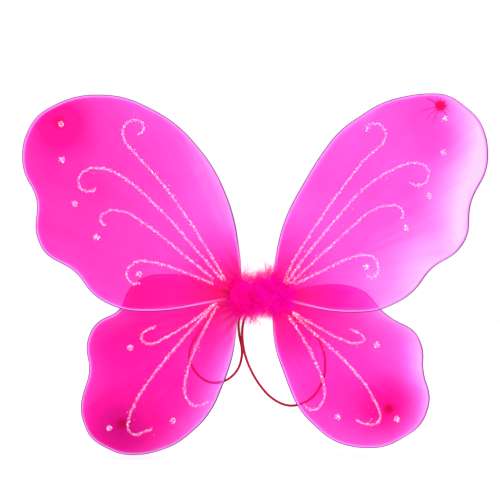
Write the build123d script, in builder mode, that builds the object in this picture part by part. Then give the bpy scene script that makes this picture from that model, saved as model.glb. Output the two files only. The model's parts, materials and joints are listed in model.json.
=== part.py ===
"""Fairy wings: four wire loops in sheer nylon, bound at a tape-wrapped hub, with elastic shoulder loops.

X runs to the right of someone who looks at the decorated side, Z is up, and Y runs towards the wearer.
The origin is the middle of the hub, where the four wings meet.
"""

import os
from math import pi, radians, tan

from build123d import *

# --- driving dimensions, millimetres -----------------------------------------------------------------
FRAME_WIRE = 2.0  # diameter of the bent steel wire
UPPER_Y = -2.2  # plane of the upper wings, in front of the lower ones
LOWER_Y = 1.8
COVER_DEPTH = 1.0  # both layers of the nylon sock and the air between them
FIT_GAP = 0.02  # between a cover's edge and the wire that it is stretched on
COVER_ROOT_X = 16.5  # the covers start this far from the middle

BEND_X = 9.5  # the upright line at which each side's wires bend
STEM_END_X = 13.6  # the wires run straight out of the hub to here
OUTER_END_Z = 5.5  # height of the wire end that becomes a wing's inner edge
INNER_END_Z = 3.1  # height of the wire end that comes back from the wing's far side
BEND_GAP = 0.35  # between a wing's wire end, as it turns, and the tail in the hub

HUB_X, HUB_Y, HUB_Z = 10.0, 9.0, 18.0  # the tape-wrapped bundle
HUB_EDGE = 2.2
TAIL_MIDDLE_GAP = 0.8  # between the left tails and the right tails

BINDING_X, BINDING_Y, BINDING_Z = 1.8, 3.2, 5.8  # thread bound round a wing's two wire ends
BINDING_EDGE = 0.6
BINDING_OUT = 11.9  # its middle, from the hub's middle

GLITTER_LINE = 2.0  # width of a glitter line
GLITTER_DEPTH = 0.5
GLITTER_DOT = 5.6  # diameter

GATHER_HEIGHT = 5.5  # the tied end of each nylon sock
GATHER_BASE = 4.0
GATHER_NECK = 1.6
GATHER_FRILL = 3.6
NECK_LOW, NECK_HIGH = 1.9, 2.9
TIE_THREAD = 0.8

PUFF_X, PUFF_YZ = 68.0, 46.0  # marabou trim: long and round
PUFF_MIDDLE = (1.0, 4.0)
PUFF_BACK_Y = 6.6  # it is pressed flat towards the wearer
SLOT_FRONT_Y, SLOT_BACK_Y = -3.8, 3.4  # the wings pass through the trim here
KNOT_POCKET_X, KNOT_POCKET_TOP = 9.2, -0.9

STRING = 1.6  # diameter of the trim's core string
STRAP = 2.7  # diameter of the round elastic
KNOT = 8.0  # diameter of a strap's knot
KNOT_PLACE = (4.3, 8.1, -5.2)

RUN_SHARE = 0.45  # how much of a run an arc may take up

# --- outlines, as corners of the polygon that the smooth wire runs inside ---------------------------------
# Each goes from the inner edge beside the hub, round the wing, and back to the hub: (x, z).
LEFT_UPPER = [
    (-14, 12),
    (-15.2, 34),
    (-22, 83),
    (-42, 131),
    (-80, 176),
    (-133, 202),
    (-180, 202),
    (-218, 183),
    (-232, 156),
    (-232, 127),
    (-215.5, 100),
    (-219.5, 66),
    (-210, 44),
    (-178, 28),
    (-162, 3),
    (-132, -12),
    (-88, -12.5),
    (-28, -0.5),
    (-17, 2.6),
]
RIGHT_UPPER = [
    (16.2, 12),
    (27, 76),
    (62, 137),
    (84, 167),
    (128, 196),
    (165, 203.5),
    (193, 203),
    (223, 179),
    (231.5, 155),
    (231, 128),
    (212.5, 96),
    (212, 63),
    (200, 45),
    (175, 32),
    (156, 4),
    (122, -13),
    (78, -13.5),
    (42, -5),
    (17, 2.6),
]
LEFT_LOWER = [
    (-18.6, -13),
    (-22.5, -59),
    (-45.5, -117),
    (-80, -147),
    (-112, -156.5),
    (-136, -156),
    (-165, -141),
    (-174, -117),
    (-173.5, -101),
    (-164, -73),
    (-169.5, -47),
    (-160, -25),
    (-134, -14),
    (-127, 9),
    (-108, 22.5),
    (-69, 23),
    (-30, 9),
    (-17.5, -0.5),
]
RIGHT_LOWER = [
    (17.8, -13),
    (19.5, -49),
    (43, -112),
    (76, -142),
    (101, -149.5),
    (131, -149),
    (166, -128),
    (175.5, -100),
    (166.5, -75),
    (167.5, -51),
    (159, -33),
    (130, -19),
    (109, 7),
    (87, 13),
    (63, 12.5),
    (32, 5.5),
    (17.5, -0.5),
]

# --- glitter decoration: each line springs from the hub and ends in a curl ------------------------------
SCROLLS = {
    "left_upper": [
        [(-30, 18), (-57, 64), (-92, 114), (-120, 144), (-132, 157), (-132.5, 171), (-124, 178.5),
         (-113, 176.5), (-111.5, 167), (-117, 163)],
        [(-33, 18), (-58, 47), (-94, 88), (-126, 117), (-148, 130), (-169, 129.5), (-178, 119),
         (-174, 107.5), (-164, 106), (-159, 110)],
        [(-42, 19), (-69, 41), (-101, 68), (-127, 85.5), (-143, 88.5), (-155, 83), (-154.5, 75),
         (-150, 72.5)],
        [(-42, 14), (-69, 25.5), (-97, 35), (-117, 38), (-128, 30), (-129.5, 20), (-122, 13.5),
         (-115, 15.5)],
    ],
    "right_upper": [
        [(28, 15), (37, 36), (59, 71), (84, 107), (110, 140), (127, 154), (131, 164), (124, 175),
         (113, 173.5), (111, 166)],
        [(30.5, 14), (46, 37), (76, 74), (104, 107), (134, 128), (158, 136.5), (172, 132), (174, 119),
         (164, 111.5), (154, 114.5)],
        [(34, 14), (58, 36), (88, 64), (112, 85.5), (130, 93), (143, 92.5), (148, 85), (146, 79.5)],
        [(39, 14), (65, 26), (90, 39), (109, 44.5), (121, 40), (123, 27), (117, 18.5), (111.5, 22.5)],
    ],
    "left_lower": [
        [(-39, -4.5), (-60, -21.5), (-84, -36.5), (-103, -46.5), (-113, -44.5), (-114.5, -37),
         (-108, -31), (-100, -29)],
        [(-41, -6.5), (-62, -29), (-89, -59.5), (-114, -92.5), (-126, -117), (-128.5, -132),
         (-121, -137.5), (-103, -131)],
        [(-38, -7.5), (-51, -31), (-63, -56), (-70, -79), (-71.5, -97), (-63, -108.5), (-54, -107.5),
         (-46, -103)],
    ],
    "right_lower": [
        [(37, -13.5), (60, -28), (82, -40), (99, -46), (109.5, -43), (107, -36.5), (94, -31)],
        [(37, -15.5), (59, -35.5), (87, -60), (111, -87), (123, -110), (126, -121), (118, -127.5),
         (108, -126), (101, -122)],
        [(33, -17.5), (48, -40.5), (61, -64.5), (69, -87), (69.5, -100), (62, -112), (53, -112),
         (48, -105.5)],
    ],
}
DOTS = {
    "left_upper": [(-194, 173.5), (-193, 138), (-180.5, 94), (-158.5, 61), (-116.5, 24)],
    "right_upper": [(188.5, 179), (187.5, 145.5), (173.5, 102), (150.5, 70), (110.5, 31)],
    "left_lower": [(-125.5, -50), (-146.5, -130), (-82.5, -123)],
    "right_lower": [(121.5, -47), (82.5, -119), (141.5, -121)],
}

# --- shoulder loops: (x, y, z), from the knot, down, round and back to the knot --------------------------
RIGHT_STRAP = [
    (3, 8.7, -6.8),
    (-5, 9, -12),
    (-12, 9.5, -21),
    (-14, 10, -38),
    (-10.5, 11, -60),
    (0, 12, -83),
    (16, 13, -102.5),
    (36, 13.5, -111),
    (57, 13, -103),
    (69, 12, -84),
    (71, 11.5, -62),
    (65, 11, -42),
    (51.5, 10.5, -28),
    (37, 10, -17.5),
    (21, 9.5, -10),
    (7.2, 8.7, -5.6),
]
LEFT_STRAP = [
    (-4.6, 8.7, -7),
    (-12.5, 9.2, -11),
    (-17.5, 10, -22),
    (-16.5, 12.5, -38),
    (-12.5, 16, -55),
    (-17, 19, -74),
    (-31, 20.5, -86),
    (-48, 20.5, -87),
    (-62.5, 19, -75),
    (-68.5, 17, -57),
    (-61, 14, -40),
    (-51, 11.5, -25),
    (-37.5, 10.2, -12.5),
    (-22, 9.5, -5),
    (-6.8, 8.7, -3.6),
]


def corner_radii(points, closed=False):
    """The widest arc that each corner's two runs leave room for."""
    corners = [Vector(*point) for point in points]
    if closed:
        corners = [corners[-1], *corners, corners[0]]
    radii = []
    for before, corner, after in zip(corners, corners[1:], corners[2:]):
        run_in = corner - before
        run_out = after - corner
        shorter = min(run_in.length, run_out.length)
        half_turn = radians(run_in.get_angle(run_out) / 2)
        radii.append(RUN_SHARE * shorter / tan(half_turn))
    return radii


def front_plane(y):
    """An upright plane at y that faces away from the wearer."""
    return Plane.XZ.offset(-y)


def finish(piece, name):
    """Name a finished piece and write it to its own file."""
    piece.part.label = name
    export_step(piece.part, f"parts/{name}.step")


os.makedirs("parts", exist_ok=True)

# name, side (-1 left, +1 right), plane, which way the wire ends lie from the hub's middle, outline,
# the gathered end's place, and whether it shows on the decorated side
WINGS = [
    ("left_upper", -1, UPPER_Y, 1, LEFT_UPPER, (-196, 175), False),
    ("right_upper", 1, UPPER_Y, 1, RIGHT_UPPER, (184.5, 192), True),
    ("left_lower", -1, LOWER_Y, -1, LEFT_LOWER, (-134, -126), False),
    ("right_lower", 1, LOWER_Y, -1, RIGHT_LOWER, (133.5, -111), False),
]

# --- hub -----------------------------------------------------------------------------------------------
tail_length = BEND_X - FRAME_WIRE / 2 - BEND_GAP - TAIL_MIDDLE_GAP / 2
tail_middle = TAIL_MIDDLE_GAP / 2 + tail_length / 2
tails = []
for name, side, plane_y, up, outline, gather_at, gather_front in WINGS:
    with BuildPart() as wire_tail:
        with Locations(
            (side * tail_middle, 0, up * OUTER_END_Z),
            (side * tail_middle, 0, up * INNER_END_Z),
        ):
            Cylinder(FRAME_WIRE / 2, tail_length, rotation=(0, 90, 0))
    finish(wire_tail, f"{name}_wire_tail")
    tails.append(wire_tail.part)

with BuildPart() as hub_tape:
    Box(HUB_X, HUB_Y, HUB_Z)
    fillet(hub_tape.edges().filter_by(Axis.Z), HUB_EDGE)
    fillet(hub_tape.faces().sort_by(Axis.Z)[-1].edges(), HUB_EDGE / 2)
    fillet(hub_tape.faces().sort_by(Axis.Z)[0].edges(), HUB_EDGE / 2)
    add(tails, mode=Mode.SUBTRACT)
finish(hub_tape, "hub_tape_wrap")

# --- shoulder straps and their knots ---------------------------------------------------------------------
straps = {}
for name, route_points in (("left", LEFT_STRAP), ("right", RIGHT_STRAP)):
    strap_radii = corner_radii(route_points)
    with BuildPart() as strap:
        with BuildLine() as route:
            FilletPolyline(*route_points, radius=strap_radii)
        with BuildSketch(Plane(origin=route.line @ 0, z_dir=route.line % 0)):
            Circle(STRAP / 2)
        sweep()
    finish(strap, f"{name}_shoulder_strap")
    straps[name] = strap.part
    strap_length = route.wire().length
    tube_volume = pi * (STRAP / 2) ** 2 * strap_length
    print(f"{name} strap: length {strap_length:.1f} mm")
    print("  arc radii:", [round(radius, 1) for radius in strap_radii])
    print(f"  volume {strap.part.volume:.1f}, section times length {tube_volume:.1f}")

for name, side in (("left", -1), ("right", 1)):
    knot_x, knot_y, knot_z = KNOT_PLACE
    with BuildPart() as strap_knot:
        with Locations((side * knot_x, knot_y, knot_z)):
            Sphere(KNOT / 2)
        split(bisect_by=Plane.XZ.offset(-HUB_Y / 2), keep=Keep.BOTTOM)
        add(straps[name], mode=Mode.SUBTRACT)
    finish(strap_knot, f"{name}_strap_knot")

# --- marabou trim ----------------------------------------------------------------------------------------
string_x = HUB_X + STRING + 2 * FIT_GAP
string_y = HUB_Y + STRING + 2 * FIT_GAP
with BuildPart() as trim_string:
    with BuildLine() as round_hub:
        FilletPolyline(
            (string_x / 2, string_y / 2),
            (-string_x / 2, string_y / 2),
            (-string_x / 2, -string_y / 2),
            (string_x / 2, -string_y / 2),
            radius=HUB_EDGE + STRING / 2 + FIT_GAP,
            close=True,
        )
    with BuildSketch(Plane(origin=round_hub.line @ 0, z_dir=round_hub.line % 0)):
        Circle(STRING / 2)
    sweep()
finish(trim_string, "marabou_core_string")

puff_x, puff_z = PUFF_MIDDLE
with BuildPart() as puff:
    with BuildSketch(Plane.XZ):
        with Locations((puff_x, puff_z)):
            Ellipse(PUFF_X / 2, PUFF_YZ / 2)
        with Locations((puff_x, puff_z - PUFF_YZ / 2)):
            Rectangle(PUFF_X, PUFF_YZ, mode=Mode.SUBTRACT)
    revolve(axis=Axis((puff_x, 0, puff_z), (1, 0, 0)))
    split(bisect_by=Plane.XZ.offset(-PUFF_BACK_Y), keep=Keep.TOP)
    add(hub_tape.part, mode=Mode.SUBTRACT)
    add(tails, mode=Mode.SUBTRACT)
    add(trim_string.part, mode=Mode.SUBTRACT)
    for side in (-1, 1):
        with Locations((side * (HUB_X / 2 + PUFF_X / 2), (SLOT_FRONT_Y + SLOT_BACK_Y) / 2, puff_z)):
            Box(PUFF_X, SLOT_BACK_Y - SLOT_FRONT_Y, PUFF_YZ, mode=Mode.SUBTRACT)
    with Locations((0, HUB_Y / 2 + PUFF_YZ / 2, KNOT_POCKET_TOP - PUFF_YZ / 2)):
        Box(2 * KNOT_POCKET_X, PUFF_YZ, PUFF_YZ, mode=Mode.SUBTRACT)
finish(puff, "marabou_trim")

# --- wings ---------------------------------------------------------------------------------------------
for name, side, plane_y, up, outline, gather_at, gather_front in WINGS:
    wire_route = [
        (side * BEND_X, 0, up * OUTER_END_Z),
        (side * STEM_END_X, 0, up * OUTER_END_Z),
        *[(x, plane_y, z) for x, z in outline],
        (side * STEM_END_X, 0, up * INNER_END_Z),
        (side * BEND_X, 0, up * INNER_END_Z),
    ]
    with BuildPart() as frame:
        with BuildLine() as route:
            FilletPolyline(*wire_route, radius=corner_radii(wire_route))
        with BuildSketch(Plane(origin=route.line @ 0, z_dir=route.line % 0)):
            Circle(FRAME_WIRE / 2)
        sweep()
    finish(frame, f"{name}_wing_frame")
    print(f"{name} wire: {route.wire().length:.0f} mm")

    with BuildPart() as binding:
        with Locations((side * BINDING_OUT, 0, up * (OUTER_END_Z + INNER_END_Z) / 2)):
            Box(BINDING_X, BINDING_Y, BINDING_Z)
        fillet(binding.edges().filter_by(Axis.X), BINDING_EDGE)
        add(frame.part, mode=Mode.SUBTRACT)
    finish(binding, f"{name}_root_binding")

    with BuildPart() as cover:
        with BuildSketch(front_plane(plane_y + COVER_DEPTH / 2)):
            with BuildLine():
                FilletPolyline(*outline, radius=corner_radii(outline, closed=True), close=True)
            make_face()
            offset(amount=-(FRAME_WIRE / 2 + FIT_GAP), mode=Mode.REPLACE)
            Rectangle(2 * COVER_ROOT_X, PUFF_X, mode=Mode.SUBTRACT)
        extrude(amount=COVER_DEPTH)
    finish(cover, f"{name}_wing_cover")
    print(f"{name} cover: {cover.part.volume / COVER_DEPTH / 100:.0f} square cm each side")

    glitter_plane = front_plane(plane_y - COVER_DEPTH / 2)
    with BuildPart() as scrolls:
        for scroll_route in SCROLLS[name]:
            with BuildSketch(glitter_plane):
                with BuildLine():
                    FilletPolyline(*scroll_route, radius=corner_radii(scroll_route))
                trace(line_width=GLITTER_LINE)
            extrude(amount=GLITTER_DEPTH)
    finish(scrolls, f"{name}_glitter_scrolls")

    with BuildPart() as dots:
        with BuildSketch(glitter_plane):
            with Locations(*DOTS[name]):
                Circle(GLITTER_DOT / 2)
        extrude(amount=GLITTER_DEPTH)
    finish(dots, f"{name}_glitter_dots")

    # the sock's end is gathered, tied with thread, and fans out past the tie
    gather_x, gather_z = gather_at
    outward = -1 if gather_front else 1
    gather_base = Plane(
        origin=(gather_x, plane_y + outward * COVER_DEPTH / 2, gather_z),
        x_dir=(1, 0, 0),
        z_dir=(0, outward, 0),
    )
    profile_plane = Plane(origin=gather_base.origin, x_dir=(1, 0, 0), z_dir=(0, 0, outward))
    with BuildPart() as gather:
        with BuildSketch(profile_plane):
            with BuildLine():
                Polyline(
                    (0, 0),
                    (GATHER_BASE, 0),
                    (GATHER_NECK, NECK_LOW),
                    (GATHER_NECK, NECK_HIGH),
                    (GATHER_FRILL, GATHER_HEIGHT),
                    (0, GATHER_HEIGHT),
                    close=True,
                )
            make_face()
        revolve(axis=Axis(gather_base.origin, gather_base.z_dir))
    finish(gather, f"{name}_cover_gather")

    with BuildPart() as tie:
        with BuildSketch(profile_plane):
            with Locations((GATHER_NECK + TIE_THREAD / 2, (NECK_LOW + NECK_HIGH) / 2)):
                Circle(TIE_THREAD / 2)
        revolve(axis=Axis(gather_base.origin, gather_base.z_dir))
    finish(tie, f"{name}_gather_tie")
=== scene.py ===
"""Dresses a pair of fairy wings: sheer nylon, painted wire, glitter, a marabou trim and elastic straps."""

import json
import math

import bmesh
import bpy
import numpy as np
from bpy.props import FloatProperty, FloatVectorProperty, IntProperty, PointerProperty
from bpy.types import Operator, Panel, PropertyGroup
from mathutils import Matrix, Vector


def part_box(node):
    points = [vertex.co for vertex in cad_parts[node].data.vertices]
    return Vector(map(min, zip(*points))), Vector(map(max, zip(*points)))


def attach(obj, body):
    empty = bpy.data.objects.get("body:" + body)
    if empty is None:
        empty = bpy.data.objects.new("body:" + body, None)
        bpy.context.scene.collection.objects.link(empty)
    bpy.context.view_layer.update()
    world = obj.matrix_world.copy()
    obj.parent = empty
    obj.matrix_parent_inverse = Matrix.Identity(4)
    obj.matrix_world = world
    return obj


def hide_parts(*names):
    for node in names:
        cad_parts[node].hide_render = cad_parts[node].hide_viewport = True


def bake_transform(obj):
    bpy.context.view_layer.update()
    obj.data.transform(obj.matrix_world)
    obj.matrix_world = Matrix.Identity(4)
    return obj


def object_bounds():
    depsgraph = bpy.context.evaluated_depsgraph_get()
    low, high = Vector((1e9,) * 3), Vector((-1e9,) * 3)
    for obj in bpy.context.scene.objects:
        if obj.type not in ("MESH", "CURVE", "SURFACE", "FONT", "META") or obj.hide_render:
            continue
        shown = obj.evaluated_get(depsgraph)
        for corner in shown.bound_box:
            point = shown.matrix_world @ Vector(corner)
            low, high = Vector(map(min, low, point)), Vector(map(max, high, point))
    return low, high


bl_info = {
    "name": "Fairy Wings",
    "version": (1, 0, 0),
    "blender": (4, 5, 0),
    "location": "View3D > Sidebar > Fairy Wings",
    "description": "Covers, glitter, marabou and elastic for a pair of wire-framed fairy wings",
    "category": "Object",
}

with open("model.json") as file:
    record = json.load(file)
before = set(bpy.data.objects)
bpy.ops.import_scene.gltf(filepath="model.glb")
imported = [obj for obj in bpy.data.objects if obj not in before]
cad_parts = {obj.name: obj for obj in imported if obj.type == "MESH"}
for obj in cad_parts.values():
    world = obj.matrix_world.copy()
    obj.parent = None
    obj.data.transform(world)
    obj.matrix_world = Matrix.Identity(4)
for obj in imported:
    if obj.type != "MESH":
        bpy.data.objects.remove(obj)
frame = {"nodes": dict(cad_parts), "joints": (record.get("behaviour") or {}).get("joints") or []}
CAD_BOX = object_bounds()
MM = 0.001

WINGS = ("left_upper", "right_upper", "left_lower", "right_lower")

# the shoulder straps' routes, from the knot, down, round and back to it, in millimetres
STRAP_ROUTES = {
    "right": [
        (3, 8.7, -6.8),
        (-5, 9, -12),
        (-12, 9.5, -21),
        (-14, 10, -38),
        (-10.5, 11, -60),
        (0, 12, -83),
        (16, 13, -102.5),
        (36, 13.5, -111),
        (57, 13, -103),
        (69, 12, -84),
        (71, 11.5, -62),
        (65, 11, -42),
        (51.5, 10.5, -28),
        (37, 10, -17.5),
        (21, 9.5, -10),
        (7.2, 8.7, -5.6),
    ],
    "left": [
        (-4.6, 8.7, -7),
        (-12.5, 9.2, -11),
        (-17.5, 10, -22),
        (-16.5, 12.5, -38),
        (-12.5, 16, -55),
        (-17, 19, -74),
        (-31, 20.5, -86),
        (-48, 20.5, -87),
        (-62.5, 19, -75),
        (-68.5, 17, -57),
        (-61, 14, -40),
        (-51, 11.5, -25),
        (-37.5, 10.2, -12.5),
        (-22, 9.5, -5),
        (-6.8, 8.7, -3.6),
    ],
}


# --- sizes and colours a user would change ---------------------------------------------------------------
def length(name, description, millimetres):
    """A length setting, given in millimetres."""
    return FloatProperty(
        name=name, description=description, default=millimetres * MM, min=0.0, unit="LENGTH", precision=5
    )


def colour(name, description, value):
    """A colour setting."""
    return FloatVectorProperty(
        name=name, description=description, default=value, min=0.0, max=1.0, size=3, subtype="COLOR"
    )


class NylonSettings(PropertyGroup):
    thickness: length("Thickness", "How far the stretched nylon stands off the wire", 0.15)
    middle_gap: length("Middle gap", "Half the space between the two layers away from the wire", 0.69)
    edge_band: length("Edge band", "Width over which the layers close up beside the wire", 9)
    deep: colour("Deep", "Yarn colour where the dye is deepest", (1.0, 0.006, 0.28))
    # violet and pale are the painted sheen's colours: the yarn turns to them where the painted sheen raises the tone
    violet: colour("Violet", "Yarn colour where the nylon is stretched", (0.95, 0.03, 0.50))
    pale: colour("Pale", "Yarn colour where the nylon is stretched most", (0.98, 0.46, 0.93))
    around: IntProperty(name="Around", description="Points round each wing", default=320, min=60)
    rings: IntProperty(name="Rings", description="Rings from the middle to the wire", default=26, min=6)


class WireSettings(PropertyGroup):
    radius: length("Radius", "Half the wire's diameter", 1.0)
    edge_gap: length("Edge gap", "From the cover's solid edge to the wire's middle", 1.02)
    paint: colour("Paint", "Colour of the painted wire", (0.95, 0.84, 0.95))
    # painted shade: the dark line painted round the outside of the wire, where its edge falls into shade
    seam: colour("Seam", "Colour of the nylon pulled round the outside of the wire", (0.14, 0.015, 0.16))


class GlitterSettings(PropertyGroup):
    flake: length("Flake", "Radius of one flake of glitter", 0.38)
    scatter: length("Scatter", "How far flakes stray past the glue line", 0.75)
    density: FloatProperty(
        name="Density", description="Flakes on each square metre of glue", default=2.4e6, min=0.0
    )
    glue: colour("Glue", "Colour of the dried glue", (1.0, 0.34, 0.84))
    sparkle: colour("Sparkle", "Colour of the brightest flakes", (1.0, 0.90, 1.0))


class MarabouSettings(PropertyGroup):
    barb: length("Barb", "Length of the down's longest barbs", 8.5)
    stem: length("Stem", "Length of one plume's stem", 9.5)
    plumes: IntProperty(name="Plumes", description="Plumes on each side of the trim", default=1000, min=10)
    # painted shade: the deep colour stands for shade in the fluff at the down's root
    deep: colour("Deep", "Colour at the root of the down", (0.74, 0.0, 0.16))
    bright: colour("Bright", "Colour at the tips of the down", (1.0, 0.004, 0.40))
    cool: colour("Cool", "Colour of the bluest tufts", (0.97, 0.002, 0.85))


class ElasticSettings(PropertyGroup):
    diameter: length("Diameter", "Diameter of the round elastic", 2.7)
    cover: colour("Cover", "Colour of its woven cover", (0.64, 0.006, 0.065))


class StageSettings(PropertyGroup):
    distance: length("Distance", "From the camera to the wings", 1600)
    view_width: length("View width", "Width of what the camera sees at the wings", 500)
    floor_size: length("Floor size", "Radius of the floor", 3500)
    floor: colour("Floor", "Colour of the floor", (0.97, 0.965, 0.965))


# --- small helpers -----------------------------------------------------------------------------------------
def new_piece(name, verts, faces, smooth=True):
    """A mesh object with its place in its mesh."""
    mesh = bpy.data.meshes.new(name)
    mesh.from_pydata([tuple(map(float, v)) for v in verts], [], faces)
    mesh.validate()
    mesh.polygons.foreach_set("use_smooth", [smooth] * len(mesh.polygons))
    made = bpy.data.objects.new(name, mesh)
    bpy.context.scene.collection.objects.link(made)
    return made


def float_attribute(mesh, name, values):
    """Store one number at each point of a mesh."""
    kept = mesh.attributes.new(name, "FLOAT", "POINT")
    kept.data.foreach_set("value", np.asarray(values, np.float32).ravel())


def vector_attribute(mesh, name, values):
    """Store one vector at each point of a mesh."""
    kept = mesh.attributes.new(name, "FLOAT_VECTOR", "POINT")
    kept.data.foreach_set("vector", np.asarray(values, np.float32).ravel())


def put(tree, kind, inputs=(), **settings):
    """Add a node, set its properties, and fill its inputs with values or with other nodes' outputs."""
    made = tree.nodes.new(kind)
    for name, value in settings.items():
        setattr(made, name, value)
    for name, value in dict(inputs).items():
        if isinstance(value, bpy.types.NodeSocket):
            tree.links.new(value, made.inputs[name])
        else:
            made.inputs[name].default_value = value
    return made


def maths(tree, operation, *values):
    """The result of a Math node."""
    return put(tree, "ShaderNodeMath", dict(enumerate(values)), operation=operation).outputs[0]


def mixed(tree, factor, first, second):
    """The result of mixing two colours."""
    made = put(
        tree, "ShaderNodeMix", {"Factor": factor, "A": first, "B": second}, data_type="RGBA"
    )
    return made.outputs[2]


def product(tree, first, second):
    """The product of two colours."""
    made = put(
        tree,
        "ShaderNodeMix",
        {"Factor": 1.0, "A": first, "B": second},
        data_type="RGBA",
        blend_type="MULTIPLY",
    )
    return made.outputs[2]


def ramp(tree, factor, *stops):
    """The colour at a factor, between evenly spaced stops."""
    made = put(tree, "ShaderNodeValToRGB", {"Fac": factor})
    marks = made.color_ramp.elements
    while len(marks) < len(stops):
        marks.new(0.5)
    for n, (mark, stop) in enumerate(zip(marks, stops)):
        mark.position = n / (len(stops) - 1)
        mark.color = rgba(stop)
    return made.outputs[0]


def rgba(value):
    """A colour with full alpha."""
    return (*value, 1.0)


def new_material(name):
    """An empty material, its tree and its output node."""
    made = bpy.data.materials.new(name)
    made.use_nodes = True
    made.node_tree.nodes.clear()
    return made, made.node_tree, put(made.node_tree, "ShaderNodeOutputMaterial")


def dress(piece, material):
    """Give a piece its only material."""
    piece.data.materials.clear()
    piece.data.materials.append(material)


def dress_node(node, material):
    """Give a CAD node its only material."""
    shown = frame["nodes"][node]
    for place in shown.material_slots:
        place.material = material
    if not shown.material_slots:
        shown.data.materials.append(material)


def tube(path, radius, sides, ridge=None, closed=False):
    """Points and faces of a tube along a path, with closed ends. ridge gives the share of the radius
    that the surface stands out at a distance along and an angle round the tube."""
    path = np.asarray(path, float)
    count = len(path)
    after = np.roll(path, -1, 0) if closed else np.vstack([path[1:], 2 * path[-1] - path[-2]])
    before = np.roll(path, 1, 0) if closed else np.vstack([2 * path[0] - path[1], path[:-1]])
    ways = after - before
    ways /= np.linalg.norm(ways, axis=1)[:, None]
    side = np.cross(ways[0], (0.0, 0.0, 1.0))
    if np.linalg.norm(side) < 0.1:
        side = np.cross(ways[0], (1.0, 0.0, 0.0))
    sideways = []
    for way in ways:
        side = side - way * (side @ way)
        side = side / np.linalg.norm(side)
        sideways.append(side)
    sideways = np.array(sideways)
    upward = np.cross(ways, sideways)
    if closed:  # spread the last turn's mismatch evenly round the loop
        carried = sideways[-1] - ways[0] * (sideways[-1] @ ways[0])
        twist = math.atan2(carried @ upward[0], carried @ sideways[0])
    else:
        twist = 0.0
    along = np.concatenate([[0], np.cumsum(np.linalg.norm(np.diff(path, axis=0), axis=1))])
    verts = []
    for i in range(count):
        angles = np.arange(sides) * 2 * math.pi / sides
        turned = angles - twist * i / count
        reach = radius * (1 + (ridge(along[i], angles) if ridge else 0 * angles))
        ring = np.outer(np.cos(turned) * reach, sideways[i]) + np.outer(np.sin(turned) * reach, upward[i])
        verts.extend(path[i] + ring)
    faces = []
    for i in range(count if closed else count - 1):
        a, b = i * sides, (i + 1) % count * sides
        for j in range(sides):
            k = (j + 1) % sides
            faces.append((a + j, b + j, b + k, a + k))
    if not closed:
        faces.append(tuple(range(sides)))
        faces.append(tuple(range((count - 1) * sides, count * sides))[::-1])
    return verts, faces


def outward(piece):
    """Turn a closed piece's faces outwards."""
    shape = bmesh.new()
    shape.from_mesh(piece.data)
    bmesh.ops.recalc_face_normals(shape, faces=shape.faces)
    shape.to_mesh(piece.data)
    shape.free()


def plain_curve(name, points):
    """A smooth open curve with these control points, in metres."""
    data = bpy.data.curves.new(name, "CURVE")
    data.dimensions = "3D"
    data.resolution_u = 24
    line = data.splines.new("NURBS")
    line.points.add(len(points) - 1)
    for place, point in zip(line.points, points):
        place.co = (*point, 1.0)
    line.order_u = 3
    line.use_endpoint_u = True
    made = bpy.data.objects.new(name, data)
    bpy.context.scene.collection.objects.link(made)
    return made


def points_along(points, step):
    """Evenly spaced points on the smooth curve that has these control points."""
    guide = plain_curve("guide", points)
    bpy.context.view_layer.update()
    mesh = bpy.data.meshes.new_from_object(guide.evaluated_get(bpy.context.evaluated_depsgraph_get()))
    line = np.array([v.co for v in mesh.vertices])
    bpy.data.objects.remove(guide)
    bpy.data.meshes.remove(mesh)
    return spaced(line, step)


def spaced(line, step):
    """The same line with its points a step apart."""
    gone = np.concatenate([[0], np.cumsum(np.linalg.norm(np.diff(line, axis=0), axis=1))])
    marks = np.linspace(0, gone[-1], max(2, round(gone[-1] / step) + 1))
    return np.column_stack([np.interp(marks, gone, line[:, k]) for k in range(line.shape[1])])


def grown(carrier, tree, values, name):
    """The plain mesh that a Geometry Nodes tree makes of a carrier, which is then removed."""
    modifier = carrier.modifiers.new(name, "NODES")
    modifier.node_group = tree
    for socket in tree.interface.items_tree:
        if socket.in_out == "INPUT" and socket.name in values:
            modifier[socket.identifier] = values[socket.name]
    bpy.context.view_layer.update()
    graph = bpy.context.evaluated_depsgraph_get()
    mesh = bpy.data.meshes.new_from_object(carrier.evaluated_get(graph), depsgraph=graph)
    mesh.name = name
    made = bpy.data.objects.new(name, mesh)
    bpy.context.scene.collection.objects.link(made)
    carrier.modifiers.remove(modifier)
    bpy.data.objects.remove(carrier)
    return made


def new_tree(name, sockets):
    """A geometry tree with its group input and output, and named inputs."""
    tree = bpy.data.node_groups.new(name, "GeometryNodeTree")
    tree.interface.new_socket("Geometry", in_out="INPUT", socket_type="NodeSocketGeometry")
    tree.interface.new_socket("Geometry", in_out="OUTPUT", socket_type="NodeSocketGeometry")
    for label, kind, value in sockets:
        made = tree.interface.new_socket(label, in_out="INPUT", socket_type=f"NodeSocket{kind}")
        if value is not None:
            made.default_value = value
    return tree, put(tree, "NodeGroupInput").outputs


def end_tree(tree, instances, material):
    """Finish a tree with real geometry in one material."""
    real = put(tree, "GeometryNodeRealizeInstances", {"Geometry": instances})
    painted = put(tree, "GeometryNodeSetMaterial", {"Geometry": real.outputs[0], "Material": material})
    put(tree, "NodeGroupOutput", {"Geometry": painted.outputs[0]})


def random_vector(tree, low, high, seed):
    """A random vector for each point, between two limits."""
    made = put(tree, "FunctionNodeRandomValue", data_type="FLOAT_VECTOR")
    for socket, value in ((made.inputs[0], low), (made.inputs[1], high)):
        if isinstance(value, bpy.types.NodeSocket):
            tree.links.new(value, socket)
        else:
            socket.default_value = value
    made.inputs["Seed"].default_value = seed
    return made.outputs[0]


def random_number(tree, low, high, seed):
    """A random number for each point, between two limits."""
    made = put(tree, "FunctionNodeRandomValue", data_type="FLOAT")
    made.inputs[2].default_value = low
    made.inputs[3].default_value = high
    made.inputs["Seed"].default_value = seed
    return made.outputs[1]


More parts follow.
